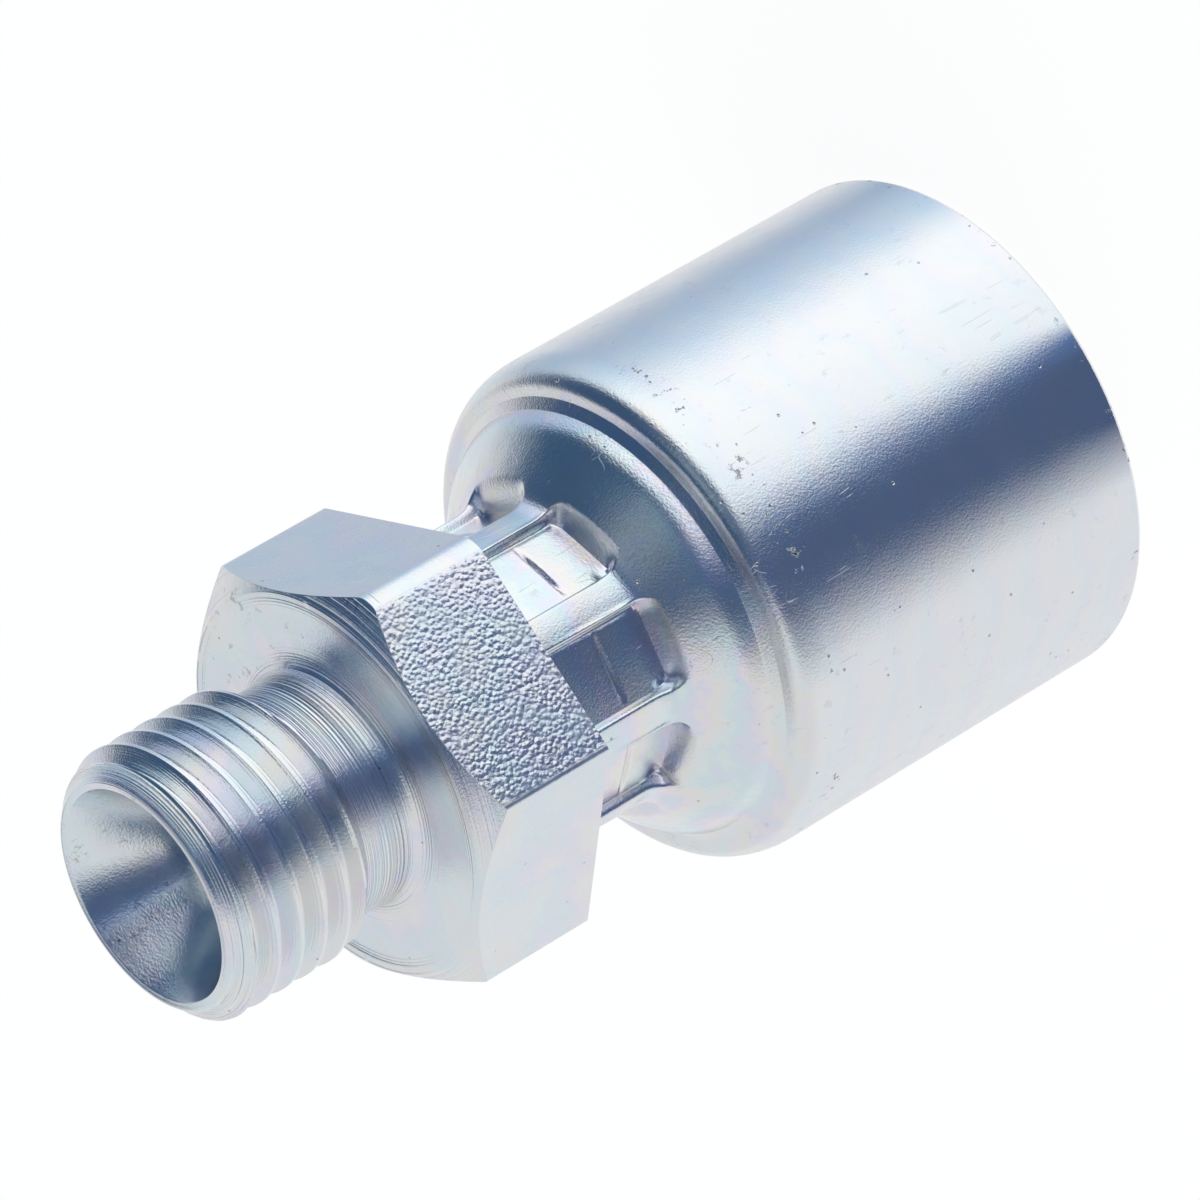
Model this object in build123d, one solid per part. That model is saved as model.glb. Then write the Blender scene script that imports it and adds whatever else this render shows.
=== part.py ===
from build123d import *

import os
from math import cos, radians, sin, sqrt, tan

# Hydraulic hose coupling with a fixed male thread, ready to be crimped on a hose. Millimetres.
# It has three pieces: the stem, turned from hexagon bar, the drawn shell staked on the stem's groove,
# and the split gripping insert that springs out inside the shell.
# +Z runs along the axis to the threaded end. The origin is the centre of the shell's rear rim,
# on which the coupling stands.

# Stem, threaded end
thread_d = 13.157        # over the crests of a G1/4 parallel pipe thread
stud_length = 11.2       # seat face to the stud's front end
stud_chamfer = 1.0
mouth_d = 10.4
cone_angle = 60.0        # the whole angle of the sealing cone in the mouth
relief_d = 11.2
relief_length = 4.05     # end of the thread to the seat face
relief_bevel = 0.5       # in the corner between the relief and the seat

# Stem, hexagon
hex_flats = 19.0
hex_length = 7.05
hex_turn = 0.0           # direction of one corner, in degrees from +X
seat_d = 18.9
hex_chamfer_angle = 35.0

# Stem, flow way
flow_bore_d = 5.0
tail_bore_d = 7.0
bore_step_height = 1.25  # end of the tail bore above the back of the hexagon
drill_angle = 118.0

# Stem, hose tail
tail_recess = 1.2        # the tail ends this far inside the shell's rear rim
tail_root_d = 9.1
barb_d = 9.9
barb_pitch = 3.9
barb_ramp = 1.1
barb_fall = 0.0          # each barb drops back square, to hold the hose
barb_gap = 1.0           # plain root between the last barb and the collar
tail_lead = 2.0          # plain tapered nose that enters the hose
tail_nose_d = 8.5
collar_length = 1.3
collar_clearance = 0.1   # between the collar and the shell's neck, which slips over it

# Shell
shell_d = 25.0
shell_length = 30.95     # rear rim to the neck's end, which butts on the hexagon
shell_wall = 1.5
rim_bevel = 0.35
shoulder_height = 21.3   # rear rim to the foremost turn of the shoulder
shoulder_bevel_width = 0.8
shoulder_bevel_length = 1.15
shoulder_flat = 0.57     # from the bevel in to the crease
crease_width = 0.53
crease_rise = 0.22
brow_length = 0.85       # steep rim of the bell just inside the crease
brow_angle = 25.0        # from the axis
bell_angle = 45.0        # from the axis
neck_d = 15.2
neck_round = 1.6

# Pressed pads that stake the neck into the stem's groove
pad_count = 8
pad_turn = 26.7          # direction of one pad's middle, in degrees from +X
pad_depth = 0.72         # the neck's surface to the flat floor of a pad
pad_width = 3.9
pad_foot = 6.59          # length from the neck's end to the far edge of a pad
pad_draft = 8.0
pad_corner = 0.45
pad_cut_height = 3.0
nick_place = 4.03        # the neck's end to the nick pressed across each pad
nick_width = 3.5
nick_depth = 0.3
stake_clearance = 0.03   # between the pads' inner faces and the groove's floor

# Split gripping insert
insert_clearance = 0.05  # between the insert and the shell's bore
insert_wall = 0.75
insert_recess = 0.8      # the insert starts this far inside the rear rim
insert_length = 17.0
insert_gap = 2.6         # width of the split
insert_gap_turn = 90.0
tooth_height = 0.5
tooth_pitch = 3.9
tooth_ramp = 0.55        # both flanks of a tooth
tooth_foot = 0.1         # at least this much plain wall beyond the teeth

# Heights and radii that follow
hex_back = shell_length
seat_height = hex_back + hex_length
front_height = seat_height + stud_length
neck_bore_r = neck_d / 2 - shell_wall
shell_bore_r = shell_d / 2 - shell_wall
crease_outer_d = shell_d - 2 * (shoulder_bevel_width + shoulder_flat)
crease_inner_d = crease_outer_d - 2 * crease_width
pad_height = neck_d / 2 - pad_depth
pad_back = shell_length - pad_foot
groove_r = pad_height - shell_wall - stake_clearance


def turned(corners):
    """Solid of revolution about Z. Each corner is (radius, height) or (radius, height, round)."""
    outline = make_face(Polyline(*[corner[:2] for corner in corners], close=True))
    for corner in corners:
        if len(corner) == 3:
            radius, height, round_radius = corner
            nearest = outline.vertices().sort_by_distance((radius, height, 0))[0]
            outline = fillet(nearest, round_radius)
    return revolve(Plane.XZ * outline, Axis.Z)


def stud_corners():
    """Outline of the threaded end and the seat, from the front down, with the thread as a plain cylinder."""
    crest = thread_d / 2
    relief = relief_d / 2
    thread_end = seat_height + relief_length
    run_out = crest - relief
    return [
        (0, front_height),
        (crest - stud_chamfer, front_height),
        (crest, front_height - stud_chamfer),
        (crest, thread_end),
        (relief, thread_end - run_out),
        (relief, seat_height + relief_bevel),
        (relief + relief_bevel, seat_height),
        (seat_d / 2, seat_height),
        (seat_d / 2, hex_back),
    ]


def ridge_corners(root_r, crest_r, start, stop, pitch, ramp, fall):
    """Ridges that grip the hose, between two heights, with plain root between them."""
    count = int((stop - start) / pitch)
    corners = []
    for ridge in range(count):
        crest = stop - fall - (count - 1 - ridge) * pitch
        corners.append((root_r, crest - ramp))
        corners.append((crest_r, crest))
        corners.append((root_r, crest + fall))
    return corners


def tail_corners():
    """Outline of the hidden end, from the nose of the tail up to the groove behind the hexagon."""
    collar_r = neck_bore_r - collar_clearance
    collar_top = pad_back - stake_clearance
    collar_foot = collar_top - collar_length
    barb_start = tail_recess + tail_lead
    last_barb = collar_foot - barb_gap
    radii = (tail_root_d / 2, barb_d / 2)
    barbs = ridge_corners(*radii, barb_start, last_barb, barb_pitch, barb_ramp, barb_fall)
    return [
        (0, tail_recess),
        (tail_nose_d / 2, tail_recess),
        (tail_root_d / 2, barb_start),
        *barbs,
        (tail_root_d / 2, collar_foot),
        (collar_r, collar_foot),
        (collar_r, collar_top),
        (groove_r, collar_top),
        (groove_r, hex_back),
    ]


def flow_corners():
    """Outline of the flow way: the tail's bore, the drilled step, the smaller bore and the sealing cone."""
    step = hex_back + bore_step_height
    step_rise = (tail_bore_d - flow_bore_d) / 2 / tan(radians(drill_angle / 2))
    cone_depth = (mouth_d - flow_bore_d) / 2 / tan(radians(cone_angle / 2))
    return [
        (0, tail_recess),
        (tail_bore_d / 2, tail_recess),
        (tail_bore_d / 2, step),
        (flow_bore_d / 2, step + step_rise),
        (flow_bore_d / 2, front_height - cone_depth),
        (mouth_d / 2, front_height),
        (0, front_height),
    ]


def make_hexagon():
    """Hexagon of the stem. A cone about the axis cuts its front corners back to the round seat face."""
    bar = extrude(RegularPolygon(hex_flats / 2, 6, major_radius=False, rotation=hex_turn), hex_length)
    corner_r = hex_flats / 2 / cos(radians(30))
    slope = tan(radians(hex_chamfer_angle))
    drop = (corner_r - seat_d / 2) * slope
    envelope = turned([
        (0, 0),
        (corner_r, 0),
        (corner_r, hex_length - drop),
        (seat_d / 2, hex_length),
        (0, hex_length),
    ])
    return Pos(0, 0, hex_back) * (bar & envelope)


def make_stem():
    """The stem in one piece: threaded end, hexagon, staking groove and barbed tail, bored through."""
    solid = turned([*tail_corners(), *reversed(stud_corners())])
    return solid + make_hexagon() - turned(flow_corners())


def make_shell_blank():
    """The drawn shell before its neck is staked: a cup with a creased shoulder, a bell and a neck."""
    crease_foot = shoulder_height
    crease_top = crease_foot + crease_rise
    brow_r = crease_inner_d / 2 - brow_length * sin(radians(brow_angle))
    brow_height = crease_top + brow_length * cos(radians(brow_angle))
    bell_slope = tan(radians(bell_angle))
    bell_rise = (brow_r - neck_d / 2) / bell_slope
    neck_foot = brow_height + bell_rise
    inner_neck_foot = neck_foot - shell_wall * tan(radians(bell_angle / 2))
    inner_shoulder = inner_neck_foot - (shell_bore_r - neck_bore_r) / bell_slope
    largest_round = bell_rise / cos(radians(bell_angle)) / (2 * tan(radians(bell_angle / 2)))
    return turned([
        (shell_bore_r, 0),
        (shell_d / 2 - rim_bevel, 0),
        (shell_d / 2, rim_bevel),
        (shell_d / 2, crease_foot - shoulder_bevel_length),
        (shell_d / 2 - shoulder_bevel_width, crease_foot),
        (crease_outer_d / 2, crease_foot),
        (crease_inner_d / 2, crease_top),
        (brow_r, brow_height),
        (neck_d / 2, neck_foot, min(neck_round, largest_round)),
        (neck_d / 2, shell_length),
        (neck_bore_r, shell_length),
        (neck_bore_r, inner_neck_foot),
        (shell_bore_r, inner_shoulder),
    ])


def pad_plane(turn, height):
    """Plane across a pad: its X runs along the axis to the thread, and its Z points outwards."""
    out = Vector(cos(radians(turn)), sin(radians(turn)), 0)
    middle = Vector(0, 0, shell_length - pad_foot / 2)
    return Plane(origin=out * height + middle, x_dir=(0, 0, 1), z_dir=out)


def make_shell():
    """The shell with its neck staked: each press flattens a pad and pushes the same metal inwards."""
    shell = make_shell_blank()
    dent = extrude(Rectangle(pad_foot, pad_width), -shell_wall, taper=pad_draft)
    open_floor = Pos(pad_foot / 2, 0) * RectangleRounded(2 * pad_foot, pad_width, pad_corner)
    press = extrude(open_floor, pad_cut_height, taper=-pad_draft)
    nick_size = nick_depth * sqrt(2)
    nick = Pos(pad_foot / 2 - nick_place, 0) * Rot(0, 45, 0) * Box(nick_size, nick_width, nick_size)
    places = [pad_turn + 360 / pad_count * pad for pad in range(pad_count)]
    for turn in places:
        shell += pad_plane(turn, pad_height) * dent
    for turn in places:
        shell -= pad_plane(turn, pad_height) * press
        shell -= pad_plane(turn, pad_height) * nick
    return shell


def make_insert():
    """The gripping insert: a toothed sleeve split along one side, sprung against the shell's bore."""
    outer_r = shell_bore_r - insert_clearance
    root_r = outer_r - insert_wall
    crest_r = root_r - tooth_height
    top = insert_recess + insert_length
    first = insert_recess + tooth_foot
    last = top - tooth_foot
    sleeve = turned([
        (root_r, top),
        (outer_r, top),
        (outer_r, insert_recess),
        (root_r, insert_recess),
        *ridge_corners(root_r, crest_r, first, last, tooth_pitch, tooth_ramp, tooth_ramp),
    ])
    cutter = Box(2 * outer_r, insert_gap, 2 * insert_length)
    split = Pos(outer_r, 0, insert_recess + insert_length / 2) * cutter
    return sleeve - Rot(0, 0, insert_gap_turn) * split


os.makedirs("parts", exist_ok=True)
export_step(make_stem(), "parts/stem.step")
export_step(make_shell(), "parts/shell.step")
export_step(make_insert(), "parts/insert.step")
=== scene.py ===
import math

import bmesh
import bpy
import numpy as np
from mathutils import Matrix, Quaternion, Vector


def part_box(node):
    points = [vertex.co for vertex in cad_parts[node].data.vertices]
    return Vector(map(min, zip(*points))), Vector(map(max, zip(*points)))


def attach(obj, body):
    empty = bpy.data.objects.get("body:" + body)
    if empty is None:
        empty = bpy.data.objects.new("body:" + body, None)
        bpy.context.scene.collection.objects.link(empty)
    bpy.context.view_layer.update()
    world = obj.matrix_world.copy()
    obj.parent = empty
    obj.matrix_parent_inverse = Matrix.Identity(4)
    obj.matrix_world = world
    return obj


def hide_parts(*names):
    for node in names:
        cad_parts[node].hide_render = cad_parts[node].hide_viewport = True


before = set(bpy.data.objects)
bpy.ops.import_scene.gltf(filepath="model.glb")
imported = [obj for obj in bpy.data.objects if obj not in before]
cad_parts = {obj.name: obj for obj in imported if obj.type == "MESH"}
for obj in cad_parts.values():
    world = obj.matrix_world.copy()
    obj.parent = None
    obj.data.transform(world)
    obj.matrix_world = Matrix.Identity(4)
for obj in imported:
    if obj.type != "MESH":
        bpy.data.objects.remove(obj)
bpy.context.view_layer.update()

# Stem.
# One piece of steel, turned from hexagon bar and then zinc plated. Its front carries a right-hand pipe
# thread round a coned mouth, and its barbed tail, hidden behind the hexagon, goes inside the hose.

mm = 0.001
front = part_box("stem")[1].z / mm

# Thread, mouth and relief
pitch = 1.337
thread_depth = 0.856
crest_r = 6.5785
crest_half = 0.095       # half the width of a crest
root_half = 0.11
root_ease = 0.16         # how gently a flank runs into the root
thread_start = 0.62      # share of a pitch by which the helix is turned
run_out = front - 8.13   # height at which the last turn has sunk to the relief
rim_r = 5.58             # where the front chamfer starts
rim_flat = 0.1
rim_round = 0.07
mouth_r = 5.2
cone_slope = math.tan(math.radians(30))
relief_r = 5.6
relief_round = 0.9

# Hexagon and seat
hex_front = 38.0
hex_back = 30.95
flat_r = 9.5
seat_r = 9.45
strip_turn = math.radians(300)   # one corner of the bar is flattened to a narrow strip
strip_r = 10.72
corner_power = 170               # the higher, the sharper the bar's corners
chamfer_slope = math.tan(math.radians(35))

# Hidden tail and flow way
groove_r = 5.35
collar_r = 6.0
collar_top = 24.33
collar_foot = 23.03
root_r = 4.55
barb_r = 4.95
barb_count = 4
barb_pitch = 3.9
barb_ramp = 1.1
barb_gap = 1.0
nose_r = 4.25
nose_length = 2.0
nose_round = 0.3
tail_end = 1.2
flow_r = 2.5
tail_bore_r = 3.5
bore_step = hex_back + 1.25
drill_slope = math.tan(math.radians(59))

columns = 360
crowding = 0.12          # draws the columns of points together at the hexagon's corners
even_turn = np.linspace(0, 2 * np.pi, columns, endpoint=False)
turn = even_turn - crowding * np.sin(6 * even_turn)


def thread_radius(across):
    """Radius over one pitch, with across from -half to +half a pitch about the crest's middle.

    It is the crest's radius on its flat, falls along a straight flank and eases into the root:
    crest radius - depth * share of the way down, where the share is held at 1 by the smooth minimum
    half of (down + 1 - root of ((down - 1) squared + ease squared)), set level with 0 at the crest.
    """
    down = (np.abs(across) - crest_half) / (pitch / 2 - crest_half - root_half)
    down = np.clip(down, 0, None)
    soft = 0.5 * (down + 1 - np.sqrt((down - 1) ** 2 + root_ease ** 2))
    level = 0.5 * (1 - np.sqrt(1 + root_ease ** 2))
    return crest_r - thread_depth * np.clip(soft - level * (1 - down.clip(0, 1)), 0, 1)


def thread_ribbon():
    """Points of the thread as one long ribbon, a pitch wide, wound up the axis.

    Height is pitch * (turn / whole turn + share across), and the radius is the thread's, but nowhere
    more than the front chamfer or the run-out cone allows. What would pass an end stays on its ring.
    """
    flank = np.linspace(crest_half, pitch / 2 - root_half, 5)
    side = np.concatenate([flank, [pitch / 2 - root_half * 0.6, pitch / 2]])
    across = np.concatenate([-side[::-1], [0], side])
    windings = math.ceil((front - run_out) / pitch) + 2
    wound = (turn[None, :] + 2 * np.pi * np.arange(windings)[:, None]).ravel()
    wound = np.append(wound, 2 * np.pi * windings)
    start = run_out - pitch * (1 + thread_start)
    height = start + pitch * (wound[None, :] / (2 * np.pi) + 0.5) + across[:, None]
    radius = np.broadcast_to(thread_radius(across)[:, None], height.shape)
    height = np.clip(height, run_out, front)
    radius = np.minimum(radius, rim_r + front - height)
    radius = np.minimum(radius, relief_r + height - run_out)
    return np.stack([radius * np.cos(wound), radius * np.sin(wound), height], axis=-1)


flat_turns = np.append(np.radians(30 + 60 * np.arange(6)), strip_turn)
flat_places = np.append(np.full(6, flat_r), strip_r)
facing = np.maximum(np.cos(turn[:, None] - flat_turns), 0) / flat_places
# Radius of a many-sided bar: one over the powered sum of each side's cos(turn - side's turn) / distance
hexagon_r = (facing ** corner_power).sum(axis=1) ** (-1 / corner_power)


def hexagon_block():
    """Points of the turned-off corners, the six flats and the back face.

    The front rows run from the seat's circle out to the bar's outline down the chamfer's cone, the next
    run straight down the flats, and the last run in over the back face to the groove.
    """
    out = np.array([0, 0.04, 0.2, 0.4, 0.6, 0.8, 0.96, 1])[:, None]
    front_r = seat_r + out * (hexagon_r - seat_r)
    front_z = hex_front - (front_r - seat_r) * chamfer_slope
    down = np.array([0.02, 0.1, 0.3, 0.5, 0.7, 0.9, 0.98, 1])[:, None]
    side_r = hexagon_r + 0 * down
    side_z = front_z[-1] + down * (hex_back - front_z[-1])
    inward = np.array([0.02, 0.2, 0.5, 1])[:, None]
    back_r = hexagon_r + inward * (groove_r - hexagon_r)
    back_z = hex_back + 0 * back_r
    radius = np.concatenate([front_r, side_r, back_r])
    height = np.concatenate([front_z, side_z, back_z])
    return np.stack([radius * np.cos(turn), radius * np.sin(turn), height], axis=-1)


def rounded(corners):
    """Outline through corners (radius, height, round), as an array of (radius, height).

    Each round is the arc that touches both runs at its corner: its centre lies on their bisector,
    round / sin(half angle) from the corner. The arc is cut into steps of about 9 degrees.
    """
    places = np.array([corner[:2] for corner in corners], float)
    points = []
    for k, (_, _, round_r) in enumerate(corners):
        if round_r == 0:
            points.append(places[k][None])
            continue
        before = places[k - 1] - places[k]
        after = places[k + 1] - places[k]
        before /= np.linalg.norm(before)
        after /= np.linalg.norm(after)
        half = math.acos(np.clip(before @ after, -1, 1)) / 2
        middle = (before + after) / np.linalg.norm(before + after)
        centre = places[k] + middle * round_r / math.sin(half)
        begin = places[k] + before * round_r / math.tan(half) - centre
        end = places[k] + after * round_r / math.tan(half) - centre
        first = math.atan2(begin[1], begin[0])
        sweep = (math.atan2(end[1], end[0]) - first + math.pi) % (2 * math.pi) - math.pi
        steps = max(2, math.ceil(abs(sweep) / math.radians(9)))
        angle = first + sweep * np.linspace(0, 1, steps + 1)
        points.append(centre + round_r * np.stack([np.cos(angle), np.sin(angle)], axis=-1))
    return np.concatenate(points)


def divided(outline, longest):
    """The outline with each run cut into equal steps no longer than the given length."""
    parts = []
    for begin, end in zip(outline[:-1], outline[1:]):
        steps = max(1, math.ceil(np.linalg.norm(end - begin) / longest))
        parts.append(np.linspace(begin, end, steps, endpoint=False))
    return np.concatenate([*parts, outline[-1:]])


def lathe(outline, around):
    """Points of a turned surface: (radius * cos turn, radius * sin turn, height), a row for each corner."""
    radius, height = outline[:, 0, None], outline[:, 1, None]
    return np.stack([
        radius * np.cos(around),
        radius * np.sin(around),
        height + 0 * around,
    ], axis=-1)


def skin(name, blocks, sharp=35):
    """One mesh from blocks of points, each (rows, columns, 3) in millimetres.

    Neighbouring points make a quad. The last column joins the first in a ring and not in a ribbon.
    Blocks meet at shared rings, where their doubles are merged, and every face is turned outwards.
    """
    places, quads, count = [], [], 0
    for block, ring in blocks:
        rows, across = block.shape[:2]
        index = count + np.arange(rows * across).reshape(rows, across)
        right = np.roll(index, -1, axis=1)
        if not ring:
            index, right = index[:, :-1], index[:, 1:]
        quads.append(np.stack([index[:-1], right[:-1], right[1:], index[1:]], axis=-1).reshape(-1, 4))
        places.append(block.reshape(-1, 3))
        count += rows * across
    mesh = bpy.data.meshes.new(name)
    mesh.from_pydata(np.concatenate(places) * mm, [], np.concatenate(quads))
    work = bmesh.new()
    work.from_mesh(mesh)
    bmesh.ops.remove_doubles(work, verts=work.verts, dist=2e-6)
    bmesh.ops.dissolve_degenerate(work, edges=work.edges, dist=1e-7)
    bmesh.ops.recalc_face_normals(work, faces=work.faces)
    work.to_mesh(mesh)
    work.free()
    mesh.shade_smooth()
    mesh.set_sharp_from_angle(angle=math.radians(sharp))
    piece = bpy.data.objects.new(name, mesh)
    bpy.context.scene.collection.objects.link(piece)
    return piece


relief = divided(rounded([
    (relief_r, run_out, 0),
    (relief_r, hex_front, relief_round),
    (seat_r, hex_front, 0),
]), longest=0.5)

barbs = []
for barb in range(barb_count):
    crest = collar_foot - barb_gap - barb * barb_pitch
    barbs += [(root_r, crest, 0), (barb_r, crest, 0), (root_r, crest - barb_ramp, 0)]
tail = divided(rounded([
    (groove_r, hex_back, 0),
    (groove_r, collar_top, 0),
    (collar_r, collar_top, 0),
    (collar_r, collar_foot, 0),
    (root_r, collar_foot, 0),
    *barbs,
    (root_r, tail_end + nose_length, 0),
    (nose_r, tail_end, nose_round),
    (tail_bore_r, tail_end, 0),
    (tail_bore_r, bore_step, 0),
    (flow_r, bore_step + (tail_bore_r - flow_r) / drill_slope, 0),
    (flow_r, front - (mouth_r - flow_r) / cone_slope, 0),
    (mouth_r, front, rim_round),
    (rim_r - rim_flat, front, 0),
    (rim_r, front, 0),
]), longest=1.5)

stem = skin("stem_turned", [
    (thread_ribbon(), False),
    (lathe(relief, turn), True),
    (hexagon_block(), True),
    (lathe(tail, turn), True),
])
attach(stem, "root")
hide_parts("stem")


def put(tree, kind, sockets, **settings):
    """Adds a node and returns its first output. A socket's value is a number, a colour or an output."""
    node = tree.nodes.new(kind)
    for key, value in settings.items():
        setattr(node, key, value)
    for key, value in sockets.items():
        if isinstance(value, bpy.types.NodeSocket):
            tree.links.new(value, node.inputs[key])
        else:
            node.inputs[key].default_value = value
    return node.outputs[0]


def maths(tree, operation, *values):
    """The given arithmetic on up to three values, as a Math node."""
    return put(tree, "ShaderNodeMath", dict(enumerate(values)), operation=operation)


def blended(tree, share, first, second):
    """The first colour where share is 0, the second where it is 1."""
    node = tree.nodes.new("ShaderNodeMix")
    node.data_type = "RGBA"
    for key, value in ((0, share), (6, first), (7, second)):
        if isinstance(value, bpy.types.NodeSocket):
            tree.links.new(value, node.inputs[key])
        else:
            node.inputs[key].default_value = value
    return node.outputs[2]


def ramp(tree, share, stops):
    """Outputs of a colour ramp through stops of (place, colour with its alpha), which go up by place."""
    node = tree.nodes.new("ShaderNodeValToRGB")
    tree.links.new(share, node.inputs[0])
    band = node.color_ramp
    for place, _ in stops[1:-1]:
        band.elements.new(place)
    for stop, (place, colour) in zip(band.elements, stops):
        stop.position = place
        stop.color = colour
    return node.outputs


def noise(tree, where, scale, detail=2.0, roughness=0.5):
    """Cloudy noise from 0 to 1, with scale in lumps per millimetre."""
    sockets = {"Vector": where, "Scale": scale, "Detail": detail, "Roughness": roughness}
    return put(tree, "ShaderNodeTexNoise", sockets)


def ranged(tree, value, low, high, to_low=0.0, to_high=1.0):
    """Maps low..high to to_low..to_high, smooth and held at both ends."""
    sockets = {"Value": value, 1: low, 2: high, 3: to_low, 4: to_high}
    return put(tree, "ShaderNodeMapRange", sockets, interpolation_type="SMOOTHSTEP")


def patches(tree, where, scale, low, high, detail=4.0):
    """Ragged patches: 0 where a noise is under low, 1 where it is over high."""
    return ranged(tree, noise(tree, where, scale, detail, roughness=0.65), low, high)


def specks(tree, where, scale, size, share):
    """Small spots, 1 at their middles: cells of which only the given share holds one."""
    cells = tree.nodes.new("ShaderNodeTexVoronoi")
    cells.inputs["Scale"].default_value = scale
    tree.links.new(where, cells.inputs["Vector"])
    near = ranged(tree, cells.outputs["Distance"], size * scale * 0.4, size * scale, 1.0, 0.0)
    lot = put(tree, "ShaderNodeSeparateColor", {0: cells.outputs["Color"]})
    return maths(tree, "MULTIPLY", near, maths(tree, "LESS_THAN", lot, share))


def bumped(tree, height, depth, under=None):
    """Normal of a surface whose height, from 0 to 1, stands up by depth in millimetres."""
    sockets = {"Height": height, "Distance": depth * mm, "Strength": 1.0}
    if under is not None:
        sockets["Normal"] = under
    return put(tree, "ShaderNodeBump", sockets)


def rough_between(tree, where, scale, smoothest, roughest):
    """Roughness that wanders between two values with the middle range of a broad noise."""
    return ranged(tree, noise(tree, where, scale, detail=3.0), 0.3, 0.7, smoothest, roughest)


def painted(tree, name):
    """The share stored at the piece's points under that name."""
    node = tree.nodes.new("ShaderNodeAttribute")
    node.attribute_name = name
    return node.outputs["Fac"]


def start_metal(name):
    """A new metal with its tree, its shader, and the piece's own coordinates in millimetres.

    The last value holds the same coordinates one by one, under X, Y and Z.
    """
    material = bpy.data.materials.new(name)
    material.use_nodes = True
    tree = material.node_tree
    shader = tree.nodes["Principled BSDF"]
    shader.inputs["Metallic"].default_value = 1.0
    coordinates = tree.nodes.new("ShaderNodeTexCoord").outputs["Object"]
    where = put(tree, "ShaderNodeVectorMath", {0: coordinates, "Scale": 1 / mm}, operation="SCALE")
    parts = tree.nodes.new("ShaderNodeSeparateXYZ")
    tree.links.new(where, parts.inputs[0])
    return material, tree, shader, where, parts.outputs


def wire(tree, shader, sockets):
    """Links each output to the shader's socket of that name."""
    for name, output in sockets.items():
        tree.links.new(output, shader.inputs[name])


silver = (0.80, 0.82, 0.845, 1)
stain = (0.36, 0.34, 0.28, 1)
grime = (0.20, 0.19, 0.17, 1)
film_bands = [
    (0.0, silver),
    (0.2, (0.87, 0.83, 0.70, 1)),
    (0.4, (0.88, 0.75, 0.82, 1)),
    (0.55, (0.74, 0.72, 0.88, 1)),
    (0.75, (0.62, 0.80, 0.86, 1)),
    (0.88, (0.72, 0.86, 0.80, 1)),
    (1.0, silver),
]


def film_colour(tree, where, along, strength):
    """Silver under the clear passivation, whose thin film runs through its colours along the piece.

    The film's phase is the share of along and of two noises, wrapped, so its bands follow the piece
    and wander. Strength says how far the colours leave silver.
    """
    phase = maths(tree, "MULTIPLY_ADD", noise(tree, where, 0.3, detail=3.0), 2.2, along)
    phase = maths(tree, "MULTIPLY_ADD", noise(tree, where, 2.2), 0.5, phase)
    colours = ramp(tree, maths(tree, "FRACT", phase), film_bands)
    return blended(tree, strength, silver, colours["Color"])


# Turned parts: fine rings round the axis, in the chamfer above all, draw the reflections out along it
turned_mat, tree, shader, where, axes = start_metal("turned_zinc")
x_squared = maths(tree, "MULTIPLY", axes["X"], axes["X"])
y_squared = maths(tree, "MULTIPLY", axes["Y"], axes["Y"])
radius = maths(tree, "SQRT", maths(tree, "ADD", x_squared, y_squared))
along = maths(tree, "SUBTRACT", radius, axes["Z"])
rings = put(tree, "ShaderNodeTexNoise", {"W": along, "Scale": 6.5, "Detail": 1.0}, noise_dimensions="1D")
colour = film_colour(tree, where, maths(tree, "MULTIPLY", along, 0.22), strength=0.33)
spots = patches(tree, where, scale=1.3, low=0.60, high=0.70)
spots = maths(tree, "MULTIPLY", spots, painted(tree, "stained"))
colour = blended(tree, maths(tree, "MULTIPLY", spots, 0.55), colour, stain)
pits = specks(tree, where, scale=1.1, size=0.09, share=0.22)
colour = blended(tree, maths(tree, "MULTIPLY", pits, 0.7), colour, grime)
normal = bumped(tree, noise(tree, where, 9.0, roughness=0.6), depth=0.012)
normal = bumped(tree, noise(tree, where, 2.6, roughness=0.6), depth=0.004, under=normal)
normal = bumped(tree, maths(tree, "MULTIPLY", rings, painted(tree, "rings")), depth=0.10, under=normal)
shader.inputs["Anisotropic"].default_value = 0.4
shader.inputs["Anisotropic Rotation"].default_value = 0.25
wire(tree, shader, {
    "Base Color": colour,
    "Roughness": rough_between(tree, where, 0.6, 0.16, 0.25),
    "Tangent": put(tree, "ShaderNodeTangent", {}, direction_type="RADIAL", axis="Z"),
    "Normal": normal,
})

# Flats of the bar: one keeps the rolled bar's pebbled skin, the others are smooth and pitted
drawn_mat, tree, shader, where, axes = start_metal("drawn_zinc")
pebbles = tree.nodes.new("ShaderNodeTexVoronoi")
pebbles.feature = "SMOOTH_F1"
pebbles.inputs["Scale"].default_value = 4.4
pebbles.inputs["Smoothness"].default_value = 0.4
pebbles.inputs["Randomness"].default_value = 1.0
tree.links.new(where, pebbles.inputs["Vector"])
domes = maths(tree, "SUBTRACT", 1.0, pebbles.outputs["Distance"])
skin_height = maths(tree, "MULTIPLY_ADD", noise(tree, where, 5.5), 0.6, domes)
skin_height = maths(tree, "MULTIPLY", skin_height, painted(tree, "pebbles"))
colour = film_colour(tree, where, maths(tree, "MULTIPLY", axes["Z"], 0.1), strength=0.3)
pits = specks(tree, where, scale=1.0, size=0.10, share=0.30)
colour = blended(tree, maths(tree, "MULTIPLY", pits, 0.7), colour, grime)
normal = bumped(tree, noise(tree, where, 6.0, detail=3.0, roughness=0.65), depth=0.016)
normal = bumped(tree, skin_height, depth=0.045, under=normal)
wire(tree, shader, {
    "Base Color": colour,
    "Roughness": rough_between(tree, where, 0.6, 0.24, 0.34),
    "Normal": normal,
})

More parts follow.
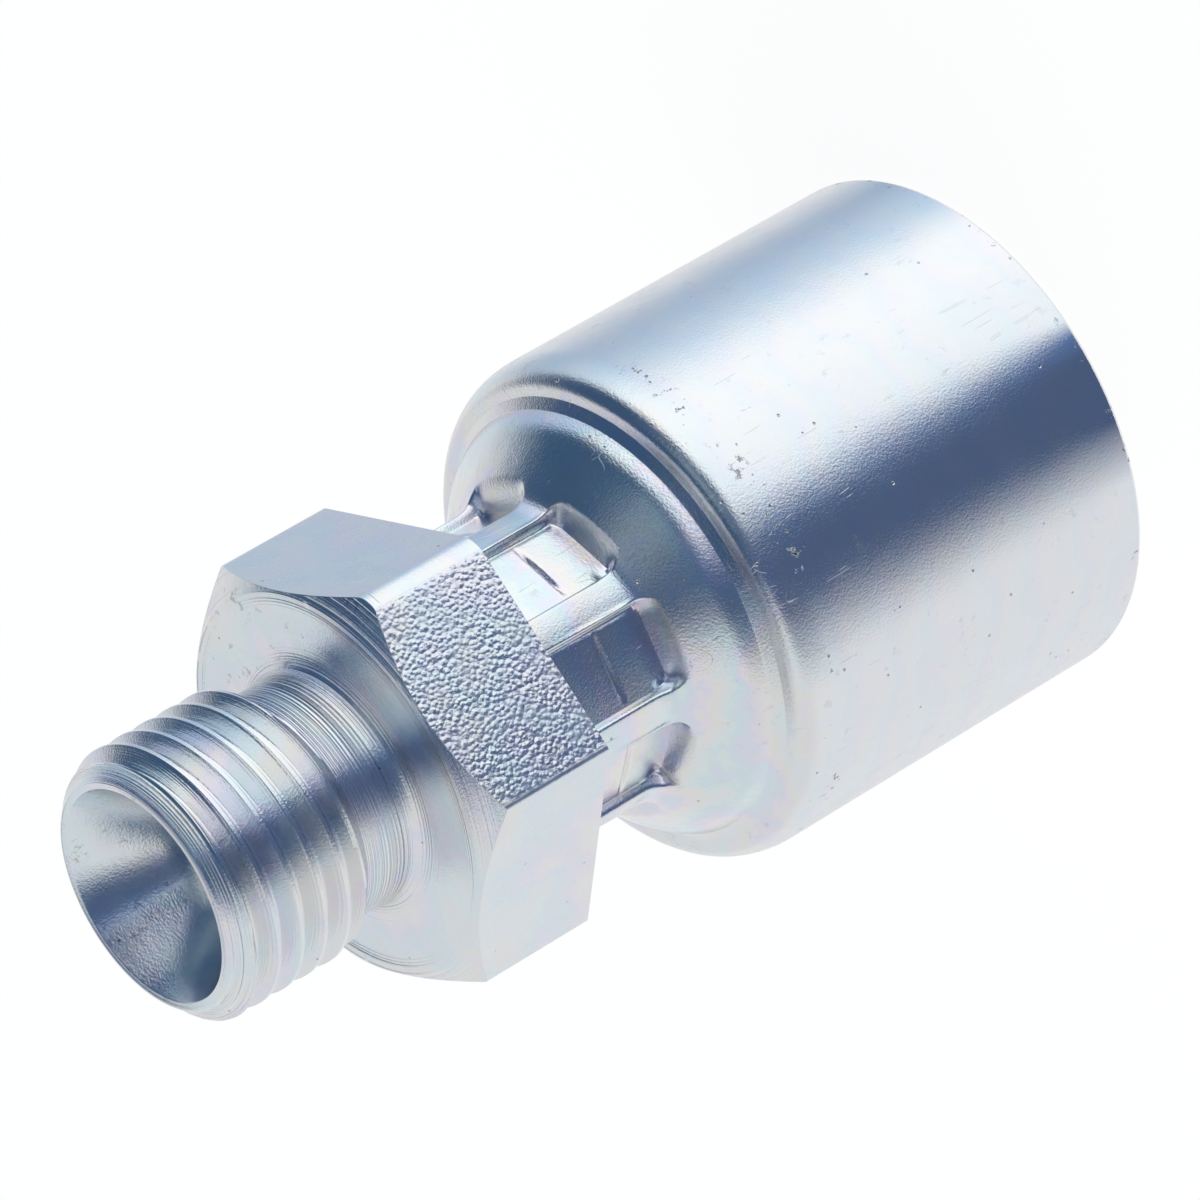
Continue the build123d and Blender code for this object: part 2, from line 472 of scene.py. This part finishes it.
stem.data.materials.append(turned_mat)
stem.data.materials.append(drawn_mat)
on_flat = 0.03           # what is this near a flat's plane lies on the flat
facets = len(stem.data.polygons)
middles = np.empty(facets * 3, np.float32)
stem.data.polygons.foreach_get("center", middles)
middles = middles.reshape(-1, 3) / mm
flat_ways = np.stack([np.cos(flat_turns[:6]), np.sin(flat_turns[:6])])
drawn = (middles[:, :2] @ flat_ways).max(axis=1) > flat_r - on_flat
stem.data.polygons.foreach_set("material_index", drawn.astype(np.int32))


def places_of(piece):
    """The piece's points in millimetres, as an array (points, 3)."""
    flat = np.empty(len(piece.data.vertices) * 3, np.float32)
    piece.data.vertices.foreach_get("co", flat)
    return flat.reshape(-1, 3).astype(float) / mm


def paint(piece, name, share):
    """Stores a share from 0 to 1 at each point, for the materials to read by name."""
    layer = piece.data.attributes.new(name, "FLOAT", "POINT")
    layer.data.foreach_set("value", np.clip(share, 0, 1).astype(np.float32))


pebbled_turn = 270       # azimuth of the pebbled flat's middle, in degrees from +X
pebbled_half = 28.8      # half its width, in degrees
chamfer_depth = 1.05
mouth_depth = 5
mouth_edge = mouth_r + 0.1
seat_depth = 1.3         # from the seat down past the hexagon's chamfer
bright_from = 6.7        # radii between which the seat shows no rings
bright_to = seat_r - 0.9
stained_turn = 10        # azimuth about which the relief and seat are stained

spot = places_of(stem)
spot_r = np.hypot(spot[:, 0], spot[:, 1])
spot_z = spot[:, 2]
spot_turn = np.degrees(np.arctan2(spot[:, 1], spot[:, 0])) % 360
pebbled = (spot[:, 1] < -flat_r + on_flat) & (np.abs(spot_turn - pebbled_turn) < pebbled_half)
chamfered = (spot_z > front - chamfer_depth) & (spot_r > mouth_edge)
in_mouth = (spot_z > front - mouth_depth) & (spot_r < mouth_edge)
necked = (spot_z < run_out + 0.01) & (spot_z > hex_front - seat_depth) & (spot_r > relief_r - 0.01)
seated = necked & (spot_r > bright_from) & (spot_r < bright_to)
stained_side = np.cos(np.radians(spot_turn - stained_turn)) > 0.3
paint(stem, "pebbles", pebbled)
paint(stem, "rings", 0.12 - 0.09 * in_mouth + 0.88 * chamfered + 0.5 * (necked & ~seated))
paint(stem, "stained", in_mouth + necked * stained_side)

# Shell.
# It is drawn from steel strip in one piece: a plain skirt that is later crimped on the hose, a blunt
# shoulder with a pressed crease, a bell and a neck, which eight presses stake into the stem's groove.

shell_r = 12.5
shell_wall = 1.5
rear_round = 0.35
shoulder_top = 21.12
shoulder_width = 1.0
shoulder_drop = 1.9
crease_outer = (11.1, 21.15, 0.1)    # radius, height and round of the crease's outer corner
crease_inner = (10.6, 21.47, 0.12)
brow = (10.24, 22.2, 2.6)            # where the crease's steep rim turns into the bell
neck_r = 7.6
neck_foot = 24.9
neck_round = 1.6
neck_end = hex_back
inner_neck = 24.28
inner_shoulder = inner_neck - 4.9

# Pads
pads = 8
pad_turn = 26.7
pad_floor = 6.88
pad_half = 1.95
pad_back = 24.36
pad_corner = 0.45
pad_wall = 0.42          # from the floor's edge to where the rounded wall meets the neck
pad_bulge = 0.05
nick_height = neck_end - 4.03
nick_half = 1.8
nick_depth = 0.2
nick_width = 0.1
lip_side = 2.12          # burr of folded metal along one side of each pad
lip_width = 0.13
lip_rise = 0.16
lip_start, lip_full = 24.3, 25.4      # heights over which the lip grows from the pad's far end
lip_fall, lip_end = 25.6, 30.2        # heights over which it dies down again
lip_loss = 0.7
crack_depth = 0.1
dimple_side = -1.72
dimple_height = 24.85
dimple_reach = 0.3
dimple_depth = 0.13

# Columns of points: bands of one pad's share of a turn in degrees, each with its number of columns
edge_steps = [
    (-22.5, -18.5, 5),
    (-18.5, -13.5, 18),
    (-13.5, 13.5, 18),
    (13.5, 18.5, 18),
    (18.5, 22.5, 5),
]
one_pad = np.concatenate([np.linspace(low, high, steps, endpoint=False) for low, high, steps in edge_steps])
pad_middles = pad_turn + 360 / pads * np.arange(pads)
shell_turn = np.radians((pad_middles[:, None] + one_pad).ravel())
across_pad = np.radians(np.tile(one_pad, pads))

# No two pads are quite alike
dice = np.random.default_rng(8)
of_pad = np.repeat(np.arange(pads), len(one_pad))
pad_shift = dice.uniform(-0.05, 0.05, pads)[of_pad]
pad_slide = dice.uniform(-0.08, 0.08, pads)[of_pad]
pad_tilt = dice.uniform(-0.025, 0.025, pads)[of_pad]
lip_share = dice.uniform(0.45, 1.0, pads)[of_pad]

quarter = np.linspace(0, np.pi / 2, 13)
shoulder = np.stack([
    shell_r - shoulder_width + shoulder_width * np.cos(quarter),
    shoulder_top - shoulder_drop + shoulder_drop * np.sin(quarter),
], axis=-1)
skirt = divided(rounded([
    (shell_r - shell_wall, 0, 0),
    (shell_r, 0, rear_round),
    (shell_r, shoulder[0, 1], 0),
]), longest=1.6)
bell = rounded([
    (shell_r - shoulder_width, shoulder_top, 0),
    crease_outer,
    crease_inner,
    brow,
    (neck_r, neck_foot, neck_round),
    (neck_r, neck_end, 0),
])
inside = divided(np.array([
    (neck_r - shell_wall, neck_end),
    (neck_r - shell_wall, inner_neck),
    (shell_r - shell_wall, inner_shoulder),
    (shell_r - shell_wall, 0),
]), longest=3.0)


def fade(value, low, high):
    """0 below low, 1 above high and smooth between: t * t * (3 - 2 t)."""
    t = np.clip((value - low) / (high - low), 0, 1)
    return t * t * (3 - 2 * t)


def staked(outline):
    """Points of the bell and neck with the pads pressed in.

    In a pad's own frame, out is radius * cos(turn from its middle) and side is radius * sin of it. Over
    the pad's rounded rectangle, out becomes the floor. Past its edge it rises back to itself by
    1 - (1 - share of the wall's width) cubed, which stands steep on the floor and rounds off at the top.
    A lens-shaped nick, a folded lip with a crack beside it and a corner dimple are added, each a bell
    curve of the distance from its line or middle.
    """
    radius, height = outline[:, 0, None], outline[:, 1, None]
    out = radius * np.cos(across_pad)
    side = radius * np.sin(across_pad)
    across = side - pad_shift
    along = height - pad_slide
    beyond_side = np.maximum(np.abs(across) - pad_half + pad_corner, 0)
    beyond_back = np.maximum(pad_back + pad_corner - along, 0)
    outside = np.maximum(np.hypot(beyond_side, beyond_back) - pad_corner, 0)
    share = np.clip(outside / pad_wall, 0, 1)
    bulge = pad_bulge * (1 - (across / pad_half) ** 2) + pad_tilt * across
    floor = pad_floor + bulge * (1 - share)
    pressed = floor + (out - floor) * (1 - (1 - share) ** 3)
    lens = np.clip(1 - (across / nick_half) ** 2, 0, None)
    from_nick = along - nick_height
    groove = np.exp(-(from_nick / nick_width) ** 2)
    burr = np.exp(-((from_nick - 2.2 * nick_width) / nick_width) ** 2)
    pressed = pressed - nick_depth * lens * (groove - 0.2 * burr)
    stretch = fade(height, lip_start, lip_full) * (1 - lip_loss * fade(height, lip_fall, lip_end))
    lip = np.exp(-((across - lip_side) / lip_width) ** 2) * stretch
    crack = np.exp(-((across - lip_side + 1.9 * lip_width) / (0.5 * lip_width)) ** 2) * stretch
    pressed = pressed + lip_share * (lip_rise * lip - crack_depth * crack)
    off = np.hypot((across - dimple_side) / 0.8, along - dimple_height) / dimple_reach
    pressed = pressed - dimple_depth * lip_share * np.exp(-off ** 2)
    middle = shell_turn - across_pad
    return np.stack([
        pressed * np.cos(middle) - side * np.sin(middle),
        pressed * np.sin(middle) + side * np.cos(middle),
        height + 0 * side,
    ], axis=-1)


fine_from = 24.0         # height at which the closer rows of the pads start
bell_rows = divided(bell[bell[:, 1] < fine_from], longest=0.25)
neck_rows = divided(np.array([bell_rows[-1], *bell[bell[:, 1] >= fine_from]]), longest=0.085)
bell_block = staked(np.concatenate([bell_rows, neck_rows[1:]]))
shell = skin("shell_drawn", [
    (lathe(skirt, shell_turn), True),
    (lathe(shoulder, shell_turn), True),
    (np.concatenate([lathe(bell[:1], shell_turn), bell_block[1:]]), True),
    (np.concatenate([bell_block[-1:], lathe(inside, shell_turn)]), True),
], sharp=50)
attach(shell, "root")
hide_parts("shell")


def hairlines(tree, where, tilt, scale, width, low):
    """Fine straight scratches along a tilted direction, as the level line of a long drawn noise.

    They show only where a second, broad noise is over low.
    """
    sockets = {"Vector": where, "Rotation": tilt, "Scale": (1.0, 1.0, 0.06)}
    drawn_out = put(tree, "ShaderNodeMapping", sockets, vector_type="POINT")
    lumps = noise(tree, drawn_out, scale, detail=0.0)
    level = maths(tree, "ABSOLUTE", maths(tree, "SUBTRACT", lumps, 0.5))
    line = ranged(tree, level, 0.0, width, 1.0, 0.0)
    return maths(tree, "MULTIPLY", line, patches(tree, where, 0.45, low, low + 0.06, detail=1.0))


# Bright, with a frosty grain, scuffs at the shoulder and the rear rim, dull clouds and scratches
dull_grey = (0.60, 0.62, 0.64, 1)
scuff_height = 19.1
shell_mat, tree, shader, where, axes = start_metal("shell_zinc")
film_strength = ranged(tree, axes["Z"], 19.0, 22.0, 0.16, 0.5)
colour = film_colour(tree, where, maths(tree, "MULTIPLY", axes["Z"], 0.33), film_strength)
off_shoulder = maths(tree, "ABSOLUTE", maths(tree, "SUBTRACT", axes["Z"], scuff_height))
at_shoulder = ranged(tree, off_shoulder, 0.1, 0.8, 1.0, 0.0)
at_rim = ranged(tree, axes["Z"], 0.3, 0.9, 1.0, 0.0)
scuffs = maths(tree, "MAXIMUM", at_shoulder, at_rim)
chips = patches(tree, where, scale=2.4, low=0.60, high=0.66)
knocked = patches(tree, where, scale=0.25, low=0.44, high=0.54, detail=1.0)
scuffs = maths(tree, "MULTIPLY", maths(tree, "MULTIPLY", scuffs, chips), knocked)
pits = specks(tree, where, scale=1.0, size=0.10, share=0.35)
dull = maths(tree, "MULTIPLY", patches(tree, where, scale=1.1, low=0.62, high=0.72), 0.35)
colour = blended(tree, dull, colour, dull_grey)
colour = blended(tree, maths(tree, "MULTIPLY", pits, 0.45), colour, grime)
colour = blended(tree, maths(tree, "MULTIPLY", scuffs, 0.8), colour, grime)
scratches = maths(tree, "MAXIMUM",
    hairlines(tree, where, tilt=(0.5, 0.9, 0.2), scale=1.1, width=0.005, low=0.60),
    hairlines(tree, where, tilt=(-0.9, 0.3, 1.1), scale=0.8, width=0.004, low=0.62))
normal = bumped(tree, noise(tree, where, 0.25), depth=0.05)
normal = bumped(tree, noise(tree, where, 8.5, detail=3.0, roughness=0.65), depth=0.017, under=normal)
normal = bumped(tree, maths(tree, "ADD", pits, scuffs), depth=-0.03, under=normal)
normal = bumped(tree, scratches, depth=-0.006, under=normal)
wire(tree, shader, {
    "Base Color": colour,
    "Roughness": maths(tree, "MULTIPLY_ADD", dull, 0.4, rough_between(tree, where, 0.5, 0.10, 0.19)),
    "Normal": normal,
})
shell.data.materials.append(shell_mat)

# Gripping insert.
# A toothed sleeve of steel strip, rolled and split, springs out inside the shell's skirt. It is the
# frame's own solid with a satin zinc finish.

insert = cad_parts["insert"]
insert_mat, tree, shader, where, axes = start_metal("insert_zinc")
shader.inputs["Roughness"].default_value = 0.32
wire(tree, shader, {
    "Base Color": film_colour(tree, where, axes["Z"], strength=0.3),
    "Normal": bumped(tree, noise(tree, where, 5.0, detail=3.0), depth=0.01),
})
insert.data.materials.clear()
insert.data.materials.append(insert_mat)

# Camera.
# A long lens looks down past the threaded end. It is rolled so that the thread points to the lower
# left of the picture, as the coupling lies in the photograph.

scene = bpy.context.scene


def direction(azimuth, elevation):
    """Unit vector at that azimuth from +X and elevation above level, in degrees."""
    a, e = math.radians(azimuth), math.radians(elevation)
    return (math.cos(a) * math.cos(e), math.sin(a) * math.cos(e), math.sin(e))


camera_azimuth, camera_elevation, camera_roll = -94.688, 31.788, 120.198
camera_distance = 402.51 * mm
camera_aim = Vector((1.148, -0.094, 21.367)) * mm
lens = bpy.data.cameras.new("camera")
lens.sensor_width = 36.0
lens.lens = 267.49
lens.clip_start, lens.clip_end = 0.01, 20.0
camera = bpy.data.objects.new("camera", lens)
back = Vector(direction(camera_azimuth, camera_elevation))
level = (-back).to_track_quat("-Z", "Y")
camera.rotation_mode = "QUATERNION"
camera.rotation_quaternion = level @ Quaternion((0, 0, 1), -math.radians(camera_roll))
camera.location = camera_aim + back * camera_distance
scene.collection.objects.link(camera)
scene.camera = camera

# Table.
# The coupling stands on its rear rim on a wide white table. The camera, the metal and glass see it
# nearly white, and it still takes the coupling's shadow.

table_half = 4000.0
table_height = -0.02


def emptied(owner):
    """The owner's node tree with nothing in it."""
    owner.use_nodes = True
    owner.node_tree.nodes.clear()
    return owner.node_tree


def end_in(tree, kind, last):
    """Links the last shader of the tree to a new output node of that kind."""
    output = tree.nodes.new(kind)
    tree.links.new(last, output.inputs[0])


table_mat = bpy.data.materials.new("table_white")
tree = emptied(table_mat)
path = tree.nodes.new("ShaderNodeLightPath")
seen = maths(tree, "MAXIMUM", path.outputs["Is Camera Ray"], path.outputs["Is Glossy Ray"])
seen = maths(tree, "MAXIMUM", seen, path.outputs["Is Transmission Ray"])
matt = put(tree, "ShaderNodeBsdfDiffuse", {"Color": (0.9, 0.9, 0.9, 1)})
white = put(tree, "ShaderNodeEmission", {"Color": (1, 1, 1, 1), "Strength": 1.07})
share = maths(tree, "MULTIPLY", seen, 0.88)
end_in(tree, "ShaderNodeOutputMaterial", put(tree, "ShaderNodeMixShader", {0: share, 1: matt, 2: white}))

edge = table_half * np.array([[(-1, -1), (1, -1)], [(-1, 1), (1, 1)]])
table_points = np.concatenate([edge, np.full((2, 2, 1), table_height)], axis=-1)
table = skin("table", [(table_points, False)])
table.data.materials.append(table_mat)

# Glowing sheet of painted reflections on the table.
# It glows with the tent's tones, laid out along the camera's mirror lines, and is seen by the metal alone,
# so that the skirt shows clean dark and bright bands as painted reflections.

# Tones of the tent's sides, which the sheet repeats as painted reflections
cloth = (0.85, 0.86, 0.88)
open_front = (0.08, 0.12, 0.22)
front_edge = (0.12, 0.20, 0.40)
panel = (1.00, 1.06, 1.10)
lit_panel = (1.15, 1.17, 1.18)
pale_shade = (0.65, 0.80, 0.95)
deep_shade = (0.40, 0.50, 0.65)

# Where they stand: azimuth from +X, tone, and the sine of the height that it reaches up to
tones = [
    (-180, cloth, 0.00),
    (-165, cloth, 0.10),
    (-155, cloth, 0.30),
    (-128, open_front, 0.80),
    (-98, open_front, 0.85),
    (-88, front_edge, 0.85),
    (-80, panel, 0.45),
    (-40, lit_panel, 0.40),
    (-20, lit_panel, 0.33),
    (0, pale_shade, 0.20),
    (30, deep_shade, 0.12),
    (60, cloth, 0.10),
    (100, cloth, 0.00),
    (180, cloth, 0.00),
]

sheet_columns = 361
sheet_near = 0.1         # from the skirt's foot
sheet_far = 3900.0
sheet_height = -0.01


def level_ways(azimuth):
    """Level unit vectors at the azimuths, given in degrees from +X: (cos, sin), a row for each."""
    return np.stack([np.cos(np.radians(azimuth)), np.sin(np.radians(azimuth))], axis=-1)


# The tones lie along the lines in which the skirt mirrors the camera's look down on the table: from
# the skirt at each turn, out along twice that turn less the look's own way
seen_turn = camera_azimuth + np.linspace(-90, 90, sheet_columns)
mirrored = 2 * seen_turn - camera_azimuth
foot = shell_r * level_ways(seen_turn)
sheet_flat = np.stack([foot + sheet_near * level_ways(mirrored), foot + sheet_far * level_ways(mirrored)])
sheet_points = np.concatenate([sheet_flat, np.full((2, sheet_columns, 1), sheet_height)], axis=-1)
sheet = skin("painted_reflection_sheet", [(sheet_points, False)])

tone_ways = [azimuth for azimuth, _, _ in tones]
wrapped = (np.tile(mirrored, 2) + 180) % 360 - 180
painted_reflection_tones = np.stack([
    np.interp(wrapped, tone_ways, [tone[part] for _, tone, _ in tones])
    for part in range(3)
], axis=-1)
layer = sheet.data.attributes.new("tone", "FLOAT_COLOR", "POINT")
layer.data.foreach_set("color", np.column_stack([painted_reflection_tones, np.ones(len(painted_reflection_tones))]).astype(np.float32).ravel())

# Painted reflection: the sheet glows with these tones, though it is no lamp, and only the metal sees it
reflection_sheet_mat = bpy.data.materials.new("painted_reflection_glow")
tree = emptied(reflection_sheet_mat)
tone = tree.nodes.new("ShaderNodeAttribute")
tone.attribute_name = "tone"
glow = put(tree, "ShaderNodeEmission", {"Color": tone.outputs["Color"], "Strength": 1.0})
end_in(tree, "ShaderNodeOutputMaterial", glow)
sheet.data.materials.append(reflection_sheet_mat)
sheet.visible_camera = False
sheet.visible_diffuse = False
sheet.visible_shadow = False
sheet.visible_transmission = False

# Tent and lamp.
# A white studio tent stands round the table, its front partly open to a dark room. One soft lamp,
# which the metal doesn't mirror, casts the coupling's faint shadow on the table.

# Soft zones of the tent's upper part: azimuth, elevation, inner and outer reach in degrees, colour
zones = [
    (-20, 50, 48, 68, (0.05, 0.10, 0.19, 1)),
    (-52, 53, 6, 18, (0.26, 0.34, 0.42, 1)),
]
upper_tent = (0.78, 0.80, 0.82, 1)

world = bpy.data.worlds.new("tent")
scene.world = world
tree = emptied(world)
looking = tree.nodes.new("ShaderNodeTexCoord").outputs["Generated"]
parts = tree.nodes.new("ShaderNodeSeparateXYZ")
tree.links.new(looking, parts.inputs[0])
way = maths(tree, "ARCTAN2", parts.outputs["Y"], parts.outputs["X"])
turned_share = maths(tree, "MULTIPLY_ADD", way, 1 / (2 * math.pi), 0.5)
stops = [(azimuth / 360 + 0.5, (*tone, top)) for azimuth, tone, top in tones]
band = ramp(tree, turned_share, stops)

colour = upper_tent
for azimuth, elevation, inner, outer, tone in zones:
    facing = tree.nodes.new("ShaderNodeVectorMath")
    facing.operation = "DOT_PRODUCT"
    tree.links.new(looking, facing.inputs[0])
    facing.inputs[1].default_value = direction(azimuth, elevation)
    cosines = math.cos(math.radians(outer)), math.cos(math.radians(inner))
    colour = blended(tree, ranged(tree, facing.outputs["Value"], *cosines), colour, tone)
over = maths(tree, "SUBTRACT", parts.outputs["Z"], band["Alpha"])
colour = blended(tree, ranged(tree, over, -0.05, 0.05), band["Color"], colour)
path = tree.nodes.new("ShaderNodeLightPath")
colour = blended(tree, path.outputs["Is Camera Ray"], colour, (1, 1, 1, 1))
end_in(tree, "ShaderNodeOutputWorld", put(tree, "ShaderNodeBackground", {"Color": colour, "Strength": 1.0}))

lamp_azimuth, lamp_elevation = 150, 60
lamp_distance = 0.5
lamp = bpy.data.lights.new("soft_box", "AREA")
lamp.shape = "SQUARE"
lamp.size = 0.25
lamp.energy = 0.35
soft_box = bpy.data.objects.new("soft_box", lamp)
soft_box.location = Vector(direction(lamp_azimuth, lamp_elevation)) * lamp_distance
soft_box.rotation_mode = "QUATERNION"
soft_box.rotation_quaternion = (-soft_box.location).to_track_quat("-Z", "Y")
soft_box.visible_glossy = False
scene.collection.objects.link(soft_box)

scene.view_settings.view_transform = "Standard"
